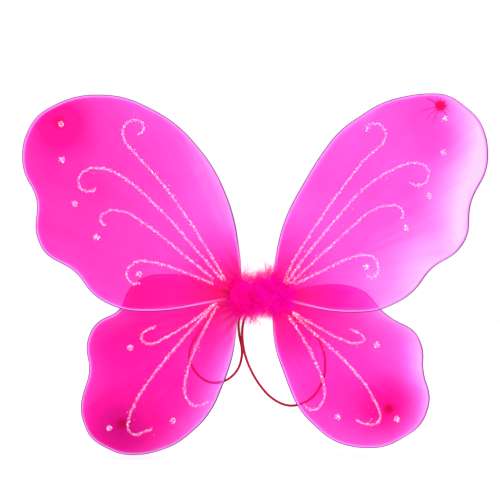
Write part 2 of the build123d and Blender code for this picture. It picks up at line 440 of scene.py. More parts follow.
# --- materials ---------------------------------------------------------------------------------------------
def nylon_material(name, settings, painted_edge_shade_colour, skirt=None):
    """Sheer knitted nylon: yarn that covers part of each layer, and a tint in what shows through.
    skirt, where it is given, is the distance from the gather at which the layer fades out."""
    material, tree, output = new_material(name)
    place = put(tree, "ShaderNodeTexCoord").outputs["Object"]
    parts = put(tree, "ShaderNodeSeparateXYZ", {0: place}).outputs

    def stored(label, output="Fac"):
        """What the mesh stores under a name."""
        return put(tree, "ShaderNodeAttribute", attribute_name=label).outputs[output]

    # pulled yarn: faint streaks that fan out from the hub, cloudy dye and the fine knit
    bearing = maths(tree, "ARCTAN2", parts["Z"], parts["X"])
    away = put(tree, "ShaderNodeVectorMath", {0: place}, operation="LENGTH").outputs["Value"]
    fan = put(
        tree,
        "ShaderNodeCombineXYZ",
        {"X": maths(tree, "MULTIPLY", bearing, 30.0), "Y": maths(tree, "MULTIPLY", away, 8.0)},
    ).outputs[0]
    streak = put(tree, "ShaderNodeTexNoise", {"Vector": fan, "Detail": 3.0, "Scale": 1.0}).outputs["Fac"]
    cloud = put(tree, "ShaderNodeTexNoise", {"Vector": place, "Scale": 14.0, "Detail": 3.0}).outputs["Fac"]
    knit = put(
        tree,
        "ShaderNodeTexWave",
        {"Vector": place, "Scale": 420.0, "Distortion": 0.6, "Detail": 1.0},
        bands_direction="Z",
    ).outputs["Fac"]

    # creases that run in to the tied end of the sock, and the bunched patch round it
    gather = stored("from_gather", "Vector")
    spread = put(tree, "ShaderNodeSeparateXYZ", {0: gather}).outputs
    angle = maths(tree, "ARCTAN2", spread["Z"], spread["X"])
    reach = put(tree, "ShaderNodeVectorMath", {0: gather}, operation="LENGTH").outputs["Value"]
    wobble = put(tree, "ShaderNodeTexNoise", {"Vector": gather, "Scale": 90.0, "Detail": 1.0}).outputs["Fac"]
    uneven = maths(tree, "MULTIPLY", maths(tree, "SINE", maths(tree, "MULTIPLY_ADD", angle, 3.0, 1.0)), 0.8)
    turned = maths(tree, "ADD", maths(tree, "MULTIPLY_ADD", angle, 5.0, uneven), maths(tree, "MULTIPLY", wobble, 2.0))
    spokes = maths(tree, "POWER", maths(tree, "ABSOLUTE", maths(tree, "SINE", turned)), 26.0)
    # they run furthest down and to the left, where the nylon is pulled from
    pull = maths(tree, "COSINE", maths(tree, "ADD", angle, 2.5))
    run = maths(tree, "MULTIPLY_ADD", pull, 0.006, 0.015)
    near = put(
        tree,
        "ShaderNodeMapRange",
        {"Value": reach, "From Min": 0.003, "From Max": run, "To Min": 1.0, "To Max": 0.0},
    ).outputs[0]
    crease = maths(tree, "MULTIPLY", maths(tree, "MULTIPLY", spokes, near), stored("crease"))
    bunched = stored("bunched")
    tied = put(
        tree,
        "ShaderNodeMapRange",
        {"Value": reach, "From Min": 0.0015, "From Max": 0.0055, "To Min": 1.0, "To Max": 0.0},
    ).outputs[0]
    tied = maths(tree, "MULTIPLY", tied, maths(tree, "POWER", stored("crease"), 0.6))

    # near the hub the sock is bunched too
    hub = put(
        tree,
        "ShaderNodeMapRange",
        {"Value": away, "From Min": 0.018, "From Max": 0.10, "To Min": 1.0, "To Max": 0.0},
        interpolation_type="SMOOTHSTEP",
    ).outputs[0]

    folded = maths(tree, "SINE", maths(tree, "MULTIPLY_ADD", bearing, 15.0, maths(tree, "MULTIPLY", streak, 3.0)))
    pleat = maths(tree, "MULTIPLY_ADD", maths(tree, "POWER", maths(tree, "ABSOLUTE", folded), 3.0), 0.5, 0.3)
    pleat = maths(tree, "MULTIPLY", maths(tree, "MULTIPLY", pleat, stored("pleats")), maths(tree, "POWER", hub, 4.0))

    over_wire = stored("over_wire")
    seam = stored("seam")
    mottle = maths(tree, "MULTIPLY", maths(tree, "SUBTRACT", cloud, 0.5), 0.28)
    grain = maths(tree, "MULTIPLY", maths(tree, "SUBTRACT", streak, 0.5), 0.15)
    # tone: the stored painted sheen, with random dye mottle and streaks
    tone = maths(tree, "ADD", stored("pale"), maths(tree, "ADD", mottle, grain))
    tone = maths(tree, "SUBTRACT", tone, bunched)
    # painted shade: darker towards each sock's foot, and darker still in the bunched patch round the gather there
    painted_foot_shade = stored("painted_foot_shade")
    shadow = maths(tree, "MINIMUM", maths(tree, "MULTIPLY", maths(tree, "MULTIPLY", painted_foot_shade, bunched), 2.0), 1.0)

    # painted sheen: where the tone is high, the tint turns pale lilac
    tint = ramp(tree, tone, (0.985, 0.105, 0.62), (0.985, 0.42, 0.90), (0.99, 0.82, 1.0))
    tint = mixed(tree, crease, tint, (0.74, 0.02, 0.40, 1.0))
    tint = mixed(tree, shadow, tint, (0.70, 0.03, 0.45, 1.0))
    tint = mixed(tree, tied, tint, (0.90, 0.02, 0.42, 1.0))
    tint = mixed(tree, pleat, tint, (0.86, 0.01, 0.24, 1.0))
    tint = mixed(tree, over_wire, tint, (1.0, 0.52, 0.93, 1.0))
    if skirt:
        fade = put(
            tree,
            "ShaderNodeMapRange",
            {"Value": reach, "From Min": 0.001, "From Max": skirt, "To Min": 1.0, "To Max": 0.0},
        ).outputs[0]
        fade = maths(tree, "POWER", fade, 1.7)
        tint = mixed(tree, fade, (1.0, 1.0, 1.0, 1.0), tint)
    # painted shade: the tint darkens towards the foot
    tint = mixed(tree, painted_foot_shade, tint, product(tree, tint, (0.78, 1.0, 0.90, 1.0)))
    open_knit = put(tree, "ShaderNodeBsdfTransparent", {"Color": tint}).outputs[0]

    # painted sheen: where the tone is high, the yarn turns violet and pale lilac
    yarn = ramp(tree, tone, settings.deep, settings.violet, settings.pale)
    yarn = mixed(tree, crease, yarn, (0.58, 0.0, 0.22, 1.0))
    yarn = mixed(tree, shadow, yarn, (0.55, 0.0, 0.16, 1.0))
    yarn = mixed(tree, tied, yarn, (0.90, 0.0, 0.20, 1.0))
    yarn = mixed(tree, pleat, yarn, (0.60, 0.0, 0.07, 1.0))
    yarn = mixed(tree, over_wire, yarn, (1.0, 0.45, 0.90, 1.0))
    # painted shade: a dark, nearly opaque line round the outside of the wire
    yarn = mixed(tree, seam, yarn, rgba(painted_edge_shade_colour))
    relief = maths(tree, "ADD", streak, maths(tree, "MULTIPLY", knit, 0.4))
    bump = put(tree, "ShaderNodeBump", {"Strength": 0.25, "Distance": 0.0002, "Height": relief}).outputs[0]
    body = put(
        tree,
        "ShaderNodeBsdfPrincipled",
        {
            "Base Color": yarn,
            "Roughness": 0.40,
            "Specular IOR Level": 0.22,
            "Specular Tint": (0.8, 0.5, 1.0, 1.0),
            "Sheen Weight": 0.12,
            "Sheen Roughness": 0.4,
            "Sheen Tint": (0.9, 0.5, 1.0, 1.0),
            "Normal": bump,
        },
    ).outputs[0]
    glow = put(tree, "ShaderNodeBsdfTranslucent", {"Color": yarn}).outputs[0]
    thread = put(tree, "ShaderNodeMixShader", {0: 0.4, 1: body, 2: glow}).outputs[0]

    cover = maths(tree, "ADD", 0.20, maths(tree, "MULTIPLY", streak, 0.08))
    cover = maths(tree, "ADD", cover, maths(tree, "MULTIPLY", knit, 0.04))
    cover = maths(tree, "ADD", cover, maths(tree, "MULTIPLY", hub, 0.25))
    cover = maths(tree, "ADD", cover, maths(tree, "MULTIPLY", bunched, 0.12))
    cover = maths(tree, "ADD", cover, maths(tree, "MULTIPLY", crease, 0.45))
    cover = maths(tree, "MULTIPLY", cover, maths(tree, "SUBTRACT", 1.0, maths(tree, "MULTIPLY", over_wire, 0.5)))
    cover = maths(tree, "MAXIMUM", cover, maths(tree, "MULTIPLY", seam, 0.95))
    if skirt:
        cover = maths(tree, "ADD", maths(tree, "MULTIPLY", cover, fade), maths(tree, "MULTIPLY", tied, 0.6))
    both = put(tree, "ShaderNodeMixShader", {0: cover, 1: open_knit, 2: thread})
    tree.links.new(both.outputs[0], output.inputs["Surface"])
    return material


def paint_material(settings):
    """Satin paint on drawn wire, with faint draw marks and rubbed spots."""
    material, tree, output = new_material("wire_paint")
    place = put(tree, "ShaderNodeTexCoord").outputs["Object"]
    marks = put(tree, "ShaderNodeTexNoise", {"Vector": place, "Scale": 900.0, "Detail": 2.0}).outputs["Fac"]
    worn = put(tree, "ShaderNodeTexNoise", {"Vector": place, "Scale": 60.0, "Detail": 3.0}).outputs["Fac"]
    rough = put(
        tree, "ShaderNodeMapRange", {"Value": worn, "To Min": 0.22, "To Max": 0.45}
    ).outputs[0]
    base = mixed(tree, worn, rgba(settings.paint), (0.62, 0.42, 0.66, 1.0))
    bump = put(tree, "ShaderNodeBump", {"Strength": 0.15, "Distance": 0.0001, "Height": marks}).outputs[0]
    paint = put(
        tree,
        "ShaderNodeBsdfPrincipled",
        {"Base Color": base, "Roughness": rough, "Coat Weight": 0.25, "Normal": bump},
    )
    tree.links.new(paint.outputs[0], output.inputs["Surface"])
    return material


def glitter_materials(settings):
    """Half-clear dried glue, and the flakes in it."""
    glue, tree, output = new_material("glitter_glue")
    place = put(tree, "ShaderNodeTexCoord").outputs["Object"]
    grain = put(tree, "ShaderNodeTexVoronoi", {"Vector": place, "Scale": 1300.0}).outputs["Distance"]
    # painted glints: pale specks of the sparkle colour in the glue
    spots = mixed(tree, maths(tree, "GREATER_THAN", grain, 0.38), rgba(settings.sparkle), rgba(settings.glue))
    bump = put(tree, "ShaderNodeBump", {"Strength": 0.8, "Distance": 0.0002, "Height": grain}).outputs[0]
    body = put(
        tree,
        "ShaderNodeBsdfPrincipled",
        {"Base Color": spots, "Roughness": 0.35, "Specular IOR Level": 0.3, "Normal": bump},
    ).outputs[0]
    clear = put(tree, "ShaderNodeBsdfTransparent", {"Color": (1.0, 0.86, 0.96, 1.0)}).outputs[0]
    both = put(tree, "ShaderNodeMixShader", {0: 0.12, 1: clear, 2: body})
    tree.links.new(both.outputs[0], output.inputs["Surface"])

    flake, tree, output = new_material("glitter_flake")
    shade = put(tree, "ShaderNodeAttribute", attribute_name="shade").outputs["Fac"]
    # painted shade and painted glints: each flake is painted at random from near black, through the glitter's own
    # pink, to the sparkle colour
    tone = ramp(tree, shade, (0.16, 0.01, 0.14), (0.95, 0.30, 0.80), settings.sparkle, settings.sparkle)
    foil = put(
        tree,
        "ShaderNodeBsdfPrincipled",
        {"Base Color": tone, "Metallic": 0.3, "Roughness": 0.25, "Specular IOR Level": 0.4},
    )
    tree.links.new(foil.outputs[0], output.inputs["Surface"])
    return glue, flake


def down_material(settings):
    """Dyed marabou down, bright at its tips, with painted shade towards its root, painted cool light towards the
    right and a faint painted glow.
    """
    material, tree, output = new_material("marabou_down")
    tip = put(tree, "ShaderNodeAttribute", attribute_name="tip").outputs["Fac"]
    place = put(tree, "ShaderNodeTexCoord").outputs["Object"]
    parts = put(tree, "ShaderNodeSeparateXYZ", {0: place}).outputs
    tuft = put(tree, "ShaderNodeTexNoise", {"Vector": place, "Scale": 110.0, "Detail": 2.0}).outputs["Fac"]
    drift = put(tree, "ShaderNodeMapRange", {"Value": tuft, "From Min": 0.35, "From Max": 0.65}).outputs[0]
    # painted cool light: random tufts turn bluer, more so towards the right, as if lit from that side; the tips turn
    # bluer too
    right = put(tree, "ShaderNodeMapRange", {"Value": parts["X"], "From Min": -0.03, "From Max": 0.035}).outputs[0]
    cool = maths(tree, "MULTIPLY", drift, maths(tree, "ADD", 0.2, maths(tree, "MULTIPLY", right, 0.9)))
    cool = maths(tree, "MAXIMUM", cool, maths(tree, "MULTIPLY", maths(tree, "POWER", tip, 3.0), 0.6))
    tips = mixed(tree, cool, rgba(settings.bright), rgba(settings.cool))
    # painted shade: the down is darker towards its root, deep in the fluff
    reach = maths(tree, "ADD", maths(tree, "MULTIPLY", tip, 0.9), maths(tree, "MULTIPLY", drift, 0.3))
    dyed = mixed(tree, reach, rgba(settings.deep), tips)
    # painted light: the down glows faintly through its emission, standing in for light scattered through the fluff
    body = put(
        tree,
        "ShaderNodeBsdfPrincipled",
        {
            "Base Color": dyed,
            "Roughness": 0.7,
            "Specular IOR Level": 0.04,
            "Emission Color": dyed,
            "Emission Strength": 0.42,
        },
    ).outputs[0]
    glow = put(tree, "ShaderNodeBsdfTranslucent", {"Color": dyed}).outputs[0]
    barb = put(tree, "ShaderNodeMixShader", {0: 0.5, 1: body, 2: glow}).outputs[0]
    gap = put(tree, "ShaderNodeBsdfTransparent").outputs[0]
    fine = put(tree, "ShaderNodeAttribute", attribute_name="fine").outputs["Fac"]
    both = put(tree, "ShaderNodeMixShader", {0: maths(tree, "MULTIPLY", fine, 0.55), 1: barb, 2: gap})
    tree.links.new(both.outputs[0], output.inputs["Surface"])
    return material


def woven_material(name, base, dark, scale=700.0, rough=0.7):
    """Dull woven or wound textile with a fine grain."""
    material, tree, output = new_material(name)
    place = put(tree, "ShaderNodeTexCoord").outputs["Object"]
    rows = put(
        tree, "ShaderNodeTexWave", {"Vector": place, "Scale": scale, "Distortion": 2.0, "Detail": 2.0}
    ).outputs["Fac"]
    fuzz = put(tree, "ShaderNodeTexNoise", {"Vector": place, "Scale": 2.5 * scale, "Detail": 2.0}).outputs["Fac"]
    tone = mixed(tree, maths(tree, "MULTIPLY", rows, fuzz), rgba(dark), rgba(base))
    bump = put(tree, "ShaderNodeBump", {"Strength": 0.5, "Distance": 0.0002, "Height": rows}).outputs[0]
    body = put(
        tree,
        "ShaderNodeBsdfPrincipled",
        {"Base Color": tone, "Roughness": rough, "Specular IOR Level": 0.15, "Normal": bump},
    )
    tree.links.new(body.outputs[0], output.inputs["Surface"])
    return material


# --- the wings' outlines -----------------------------------------------------------------------------------
def flat_outline(node):
    """The edge of a flat CAD node's front face, in order, as x and z."""
    shape = bmesh.new()
    shape.from_mesh(frame["nodes"][node].data)
    bmesh.ops.remove_doubles(shape, verts=shape.verts, dist=1e-5)
    front = min(v.co.y for v in shape.verts) + 1e-5
    faces = {f for f in shape.faces if all(v.co.y < front for v in f.verts)}
    beside = {}
    for edge in {e for f in faces for e in f.edges}:
        if sum(f in faces for f in edge.link_faces) == 1:
            one, two = edge.verts
            beside.setdefault(one, []).append(two)
            beside.setdefault(two, []).append(one)
    first = next(iter(sorted(beside, key=lambda v: v.index)))
    loop, before, here = [first], None, first
    while True:
        after = next(v for v in beside[here] if v is not before)
        if after is first:
            break
        loop.append(after)
        before, here = here, after
    line = np.array([(v.co.x, v.co.z) for v in loop])
    shape.free()
    return line


def wire_loop(wing, count, edge_gap):
    """Evenly spaced points on the middle of a wing's wire, counterclockwise from the front, and the
    directions that point out of the wing there."""
    edge = flat_outline(f"{wing}_wing_cover")
    if np.sum(edge[:, 0] * np.roll(edge[:, 1], -1) - np.roll(edge[:, 0], -1) * edge[:, 1]) < 0:
        edge = edge[::-1]
    closed = np.vstack([edge, edge[:1]])
    gone = np.concatenate([[0], np.cumsum(np.linalg.norm(np.diff(closed, axis=0), axis=1))])
    marks = np.arange(count) * gone[-1] / count
    even = np.column_stack([np.interp(marks, gone, closed[:, k]) for k in (0, 1)])
    for _ in range(3):
        even = 0.25 * np.roll(even, 1, 0) + 0.5 * even + 0.25 * np.roll(even, -1, 0)
    ways = np.roll(even, -1, 0) - np.roll(even, 1, 0)
    ways /= np.linalg.norm(ways, axis=1)[:, None]
    out = np.column_stack([ways[:, 1], -ways[:, 0]])
    return even + out * edge_gap, out


def wing_plane(wing):
    """The middle of a wing's thickness, as y."""
    low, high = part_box(f"{wing}_wing_cover")
    return (low.y + high.y) / 2


def gather_place(wing):
    """The middle of a wing's tied gather."""
    low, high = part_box(f"{wing}_cover_gather")
    return (low + high) / 2


# --- wings -------------------------------------------------------------------------------------------------
# painted sheen: how pale each sock is painted over its middle, how much more across to its right and all round its
# rim, and how much and how far in the painted sheen reaches beside the wire on the side that faces the light at the
# right, for a slant of that side; then how much deeper its root is, how dark its pleats are, and how much painted
# shade darkens it towards its foot
PAINTED_SHEEN_AND_TONE = {
    "left_upper": dict(
        middle=0.31, across=0.17, rim=0.07, edge=0.13, band=0.034, slant=-0.20, root=0.45, pleats=1.2, painted_foot_shade=0.0
    ),
    "right_upper": dict(
        middle=0.50, across=0.06, rim=0.02, edge=0.56, band=0.034, slant=0.10, root=0.35, pleats=0.6, painted_foot_shade=0.0
    ),
    "left_lower": dict(
        middle=0.04, across=0.06, rim=0.16, edge=0.30, band=0.016, slant=0.15, root=0.10, pleats=1.2, painted_foot_shade=1.0
    ),
    "right_lower": dict(
        middle=0.20, across=0.13, rim=0.13, edge=0.34, band=0.022, slant=-0.10, root=0.15, pleats=0.6, painted_foot_shade=0.6
    ),
}
# how deep the creases round each gather are, how dark the patch round it is, and how wide that patch is
GATHERING = {
    "left_upper": (0.15, 0.42, 0.026),
    "right_upper": (1.0, 0.26, 0.045),
    "left_lower": (0.3, 0.40, 0.026),
    "right_lower": (0.6, 0.35, 0.030),
}


def cover_mesh(wing, nylon, wire):
    """A stretched nylon sock: a front and a back layer that meet round the outside of the wire. Gives its
    points and faces, the wire's loop, and what the nylon's colour depends on at each point."""
    loop, out = wire_loop(wing, nylon.around, wire.edge_gap)
    plane = wing_plane(wing)
    stand = wire.radius + nylon.thickness
    middle = loop.mean(0)
    count = len(loop)
    layer = []
    for share in 1 - np.linspace(1, 0, nylon.rings)[1:-1] ** 1.9:
        flat = middle + share * (loop - middle)
        inside = np.linalg.norm(loop - flat, axis=1)
        close = np.exp(-((inside / nylon.edge_band) ** 2))
        layer.append((flat, nylon.middle_gap + (stand - nylon.middle_gap) * close))
    rings = [np.column_stack([flat[:, 0], plane - gap, flat[:, 1]]) for flat, gap in layer]
    round_wire = np.radians(np.linspace(-90, 90, 9))
    for angle in round_wire:
        flat = loop + out * stand * math.cos(angle)
        y = np.full(count, plane + stand * math.sin(angle))
        rings.append(np.column_stack([flat[:, 0], y, flat[:, 1]]))
    rings += [np.column_stack([flat[:, 0], plane + gap, flat[:, 1]]) for flat, gap in layer[::-1]]
    faces = []
    for k in range(len(rings) - 1):
        for i in range(count):
            j = (i + 1) % count
            faces.append((k * count + i, (k + 1) * count + i, (k + 1) * count + j, k * count + j))
    front, back = len(rings) * count, len(rings) * count + 1
    last = (len(rings) - 1) * count
    for i in range(count):
        j = (i + 1) % count
        faces.append((front, i, j))
        faces.append((back, last + j, last + i))
    gap = nylon.middle_gap
    ends = [(middle[0], plane - gap, middle[1]), (middle[0], plane + gap, middle[1])]
    verts = np.vstack([*rings, ends])

    flat = verts[:, [0, 2]]
    distances = np.linalg.norm(flat[:, None] - loop[None], axis=2)
    rim = distances.min(1)
    wide = 12 * MM  # the way out is averaged over the wire's nearest stretch, so that no line shows
    weights = np.exp(-((distances - rim[:, None]) / wide))
    look = PAINTED_SHEEN_AND_TONE[wing]
    # painted sheen: the sock is painted paler beside the wire on the side that faces the light at the right
    facing = np.clip((weights @ (out @ (0.98, look["slant"]))) / weights.sum(1), 0, 1)
    half = (loop[:, 0].max() - loop[:, 0].min()) / 2
    # painted sheen: paler over the middle of each sock, more towards its right, and all round its rim
    pale = look["middle"] + look["across"] * (flat[:, 0] - middle[0]) / half
    pale += look["edge"] * facing * np.exp(-((rim / look["band"]) ** 2))
    pale += look["rim"] * np.exp(-((rim / (17 * MM)) ** 2)) + 0.12 * np.exp(-((rim / (3.5 * MM)) ** 2))
    root = np.clip((100 * MM - np.linalg.norm(flat, axis=1)) / (82 * MM), 0, 1)
    root = root**2 * (3 - 2 * root)
    pale -= look["root"] * root
    over_wire = np.clip((1.7 * MM - rim) / (0.8 * MM), 0, 1)
    seam = np.zeros(len(verts))
    # painted shade: a dark line round the outside of the wire, wider where the wire faces right
    rightward = np.clip(out @ (0.98, -0.20), 0, 1) ** 2
    first = len(layer) * count
    for k, angle in enumerate(round_wire):
        ring = slice(first + k * count, first + (k + 1) * count)
        over_wire[ring] = 1
        seam[ring] = np.clip((math.cos(angle) - 0.20 + 0.45 * rightward) / 0.18, 0, 1)
    # the sock is thick where it is drawn in beside the hub, and hides the wire
    seam *= 1 - root**3
    over_wire *= 1 - root**3
    depth, patch, patch_width = GATHERING[wing]
    gathered = gather_place(wing)
    from_gather = np.linalg.norm(flat - (gathered.x, gathered.z), axis=1)
    stored = {
        "pale": pale,
        "over_wire": over_wire,
        "seam": seam,
        "crease": np.full(len(verts), depth),
        "bunched": patch * np.exp(-((from_gather / patch_width) ** 2)),
        "pleats": np.full(len(verts), look["pleats"]),
        # painted shade: stronger towards the foot
        "painted_foot_shade": look["painted_foot_shade"] * np.clip((loop[:, 1].max() - flat[:, 1]) / np.ptp(loop[:, 1]), 0, 1),
    }
    return verts, faces, loop, stored


class WINGS_OT_nylon(Operator):
    """Stretch a sheer nylon sock over each wing's wire"""

    bl_idname = "wings.nylon"
    bl_label = "Nylon covers"

    def execute(self, context):
        nylon, wire = context.scene.wing_nylon, context.scene.wing_wire
        material = nylon_material("sheer_nylon", nylon, wire.seam)
        for wing in WINGS:
            verts, faces, loop, stored = cover_mesh(wing, nylon, wire)
            cover = new_piece(f"{wing}_nylon", verts, faces)
            for label, values in stored.items():
                float_attribute(cover.data, label, values)
            vector_attribute(cover.data, "from_gather", (verts - np.array(gather_place(wing))) * (1, 0, 1))
            dress(cover, material)
            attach(cover, f"{wing}_wing")
            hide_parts(f"{wing}_wing_cover")
        return {"FINISHED"}


class WINGS_OT_wire(Operator):
    """Bend the four wing wires and paint them and their tails"""

    bl_idname = "wings.wire"
    bl_label = "Wing wires"

    def execute(self, context):
        nylon, wire = context.scene.wing_nylon, context.scene.wing_wire
        paint = paint_material(wire)
        bends = {j["child"]: j["pos_m"] for j in frame["joints"]}
        for wing in WINGS:
            loop, _ = wire_loop(wing, nylon.around, wire.edge_gap)
            plane = wing_plane(wing)
            low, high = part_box(f"{wing}_wire_tail")
            ends = sorted((low.z + wire.radius, high.z - wire.radius), key=abs)
            bend = bends[f"{wing}_wing"][0]
            stem = bend + math.copysign(3.6 * MM, bend)
            beside_hub = (np.abs(loop[:, 0]) < 21 * MM) & (np.abs(loop[:, 1]) < 14 * MM)
            start = next(i for i in range(len(loop)) if beside_hub[i - 1] and not beside_hub[i])
            kept = np.roll(loop, -start, 0)[~np.roll(beside_hub, -start)]
            if abs(kept[0][1]) < abs(kept[-1][1]):
                kept = kept[::-1]
            route = [(bend, 0, ends[1]), (stem, 0, ends[1])]
            route += [(x, plane, z) for x, z in kept]
            route += [(stem, 0, ends[0]), (bend, 0, ends[0])]
            verts, faces = tube(points_along(route, 1.6 * MM), wire.radius, 12)
            bent = new_piece(f"{wing}_wire", verts, faces)
            outward(bent)
            dress(bent, paint)
            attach(bent, f"{wing}_wing")
            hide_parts(f"{wing}_wing_frame")
            dress_node(f"{wing}_wire_tail", paint)
        return {"FINISHED"}


SKIRT = 10 * MM


def ruffled_tuft(wing, nylon):
    """The sock's tied end: pleats that draw in over the nylon, a neck, and a frill past the tie."""
    low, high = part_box(f"{wing}_cover_gather")
    plane = wing_plane(wing)
    way = 1 if low.y > plane else -1
    sheet = plane + way * (nylon.middle_gap + 0.03 * MM)
    top = high.y if way > 0 else low.y
    tall = abs(top - sheet)
    middle = (low + high) / 2
    widest = (high.x - low.x) / 2 * (1.0 if way > 0 else 1.3)
    pleats = [(SKIRT, 0.0, 0.0), (0.75 * SKIRT, 0.02, 0.05), (0.52 * SKIRT, 0.04, 0.10), (0.36 * SKIRT, 0.07, 0.13)]
    levels = [(radius / widest, up, 0.0, rise) for radius, up, rise in pleats]
    levels += [
        (1.02, 0.13, 0.12, 0.10),
        (0.70, 0.21, 0.14, 0.05),
        (0.48, 0.32, 0.10, 0.0),
        (0.36, 0.42, 0.05, 0.0),
        (0.36, 0.50, 0.05, 0.0),
        (0.46, 0.58, 0.16, 0.0),
        (0.66, 0.70, 0.28, 0.0),
        (0.86, 0.83, 0.38, 0.02),
        (1.00, 0.94, 0.46, 0.03),
        (0.96, 1.00, 0.50, 0.0),
        (0.70, 0.97, 0.42, 0.0),
        (0.42, 0.87, 0.25, 0.0),
        (0.22, 0.76, 0.10, 0.0),
    ]
    around = 96
    angles = np.arange(around) * 2 * math.pi / around
    folds = 0.7 * np.cos(7 * angles + 0.6) + 0.3 * np.cos(12 * angles + 2.0)
    ridges = np.abs(np.sin(6 * angles + 1.3 * np.sin(2 * angles))) ** 3
    lopsided = 1 + 0.22 * np.cos(angles - 0.8) + 0.14 * np.cos(2 * angles + 0.5)
    verts = []
    for reach, up, depth, rise in levels:
        radius = widest * reach * (1 - depth + depth * folds) * (lopsided if depth > 0.1 else 1)
        height = sheet + way * tall * (up + rise * ridges)
        verts += list(
            np.column_stack([middle.x + radius * np.cos(angles), height, middle.z + radius * np.sin(angles)])
        )
    faces = []
    for k in range(len(levels) - 1):
        for i in range(around):
            j = (i + 1) % around
            faces.append((k * around + i, k * around + j, (k + 1) * around + j, (k + 1) * around + i))
    faces.append(tuple(range(around)))
    last = (len(levels) - 1) * around
    faces.append(tuple(range(last, last + around)))
    return verts, faces, middle


class WINGS_OT_gathers(Operator):
    """Ruffle each sock's tied end and wind its thread"""

    bl_idname = "wings.gathers"
    bl_label = "Gathered ends"

    def execute(self, context):
        nylon, wire = context.scene.wing_nylon, context.scene.wing_wire
        bunched = nylon_material("bunched_nylon", nylon, wire.seam, skirt=SKIRT - 1 * MM)
        thread = woven_material("tie_thread", (0.55, 0.01, 0.16), (0.2, 0.0, 0.05), scale=2200)
        for wing in WINGS:
            verts, faces, middle = ruffled_tuft(wing, nylon)
            tuft = new_piece(f"{wing}_tuft", verts, faces)
            outward(tuft)
            depth, patch, _ = GATHERING[wing]
            for label, value in (("pale", 0.2), ("over_wire", 0), ("seam", 0), ("crease", depth), ("bunched", patch), ("pleats", 0), ("painted_foot_shade", 0)):
                float_attribute(tuft.data, label, [value] * len(verts))
            vector_attribute(tuft.data, "from_gather", (np.array(verts) - np.array(middle)) * (1, 0, 1))
            dress(tuft, bunched)
            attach(tuft, f"{wing}_wing")
            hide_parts(f"{wing}_cover_gather")

            tie_low, tie_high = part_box(f"{wing}_gather_tie")
            radius = (tie_high.x - tie_low.x) / 2 - 0.2 * MM
            turns = np.linspace(0, 3 * 2 * math.pi, 150)
            lift = np.linspace(tie_low.y + 0.2 * MM, tie_high.y - 0.2 * MM, len(turns))
            coil = np.column_stack(
                [middle.x + radius * np.cos(turns), lift, middle.z + radius * np.sin(turns)]
            )
            verts, faces = tube(coil, 0.2 * MM, 8)
            tie = new_piece(f"{wing}_tie", verts, faces)
            outward(tie)
            dress(tie, thread)
            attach(tie, f"{wing}_wing")
            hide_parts(f"{wing}_gather_tie")
        return {"FINISHED"}


# --- glitter -----------------------------------------------------------------------------------------------
def glitter_tree():
    """Flakes strewn over the front of a glue line and a little past its edges."""
    tree, given = new_tree(
        "Strewn glitter",
        [
            ("Density", "Float", 3e6),
            ("Flake Radius", "Float", 0.00026),
            ("Scatter", "Vector", (0.0005, 0.0001, 0.0005)),
            ("Seed", "Int", 1),
            ("Material", "Material", None),
        ],
    )
    facing = put(tree, "GeometryNodeInputNormal").outputs[0]
    front = put(tree, "ShaderNodeSeparateXYZ", {0: facing}).outputs["Y"]
    is_front = put(tree, "FunctionNodeCompare", {0: front, 1: -0.5}, operation="LESS_THAN").outputs[0]
    clumps = put(tree, "ShaderNodeTexNoise", {"Scale": 420.0, "Detail": 1.0}).outputs[0]
    share = put(tree, "ShaderNodeMapRange", {"Value": clumps, "From Min": 0.35, "From Max": 0.65, "To Min": 0.45})
    clumped = maths(tree, "MULTIPLY", given["Density"], share.outputs[0])
    strewn = put(
        tree,
        "GeometryNodeDistributePointsOnFaces",
        {"Mesh": given["Geometry"], "Selection": is_front, "Density": clumped, "Seed": given["Seed"]},
    )
    back = put(tree, "ShaderNodeVectorMath", {0: given["Scatter"], 1: (-1.0, -1.0, -1.0)}, operation="MULTIPLY")
    strayed = put(
        tree,
        "GeometryNodeSetPosition",
        {"Geometry": strewn.outputs["Points"], "Offset": random_vector(tree, back.outputs[0], given["Scatter"], 5)},
    )
    thickness = put(tree, "ShaderNodeMath", {0: given["Flake Radius"], 1: 0.5}, operation="MULTIPLY")
    flake = put(
        tree,
        "GeometryNodeMeshCylinder",
        {"Vertices": 5, "Radius": given["Flake Radius"], "Depth": thickness.outputs[0]},
    )
    turn = put(
        tree, "FunctionNodeEulerToRotation", {0: random_vector(tree, (0.0, 0.0, 0.0), (6.28, 6.28, 6.28), 7)}
    )
    flakes = put(
        tree,
        "GeometryNodeInstanceOnPoints",
        {
            "Points": strayed.outputs[0],
            "Instance": flake.outputs["Mesh"],
            "Rotation": turn.outputs[0],
            "Scale": random_number(tree, 0.55, 1.25, 9),
        },
    )
    shaded = put(
        tree,
        "GeometryNodeStoreNamedAttribute",
        {"Geometry": flakes.outputs[0], "Name": "shade", "Value": random_number(tree, 0.0, 1.0, 13)},
        data_type="FLOAT",
        domain="INSTANCE",
    )
    end_tree(tree, shaded.outputs[0], given["Material"])
    return tree


# what flakes are strewn over: their share of the usual density, of the usual scatter and of the usual size
STREWN = (("scrolls", 0.9, 1.0, 1.1), ("dots", 1.0, 1.0, 1.4), ("stray", 0.03, 8.0, 1.0))


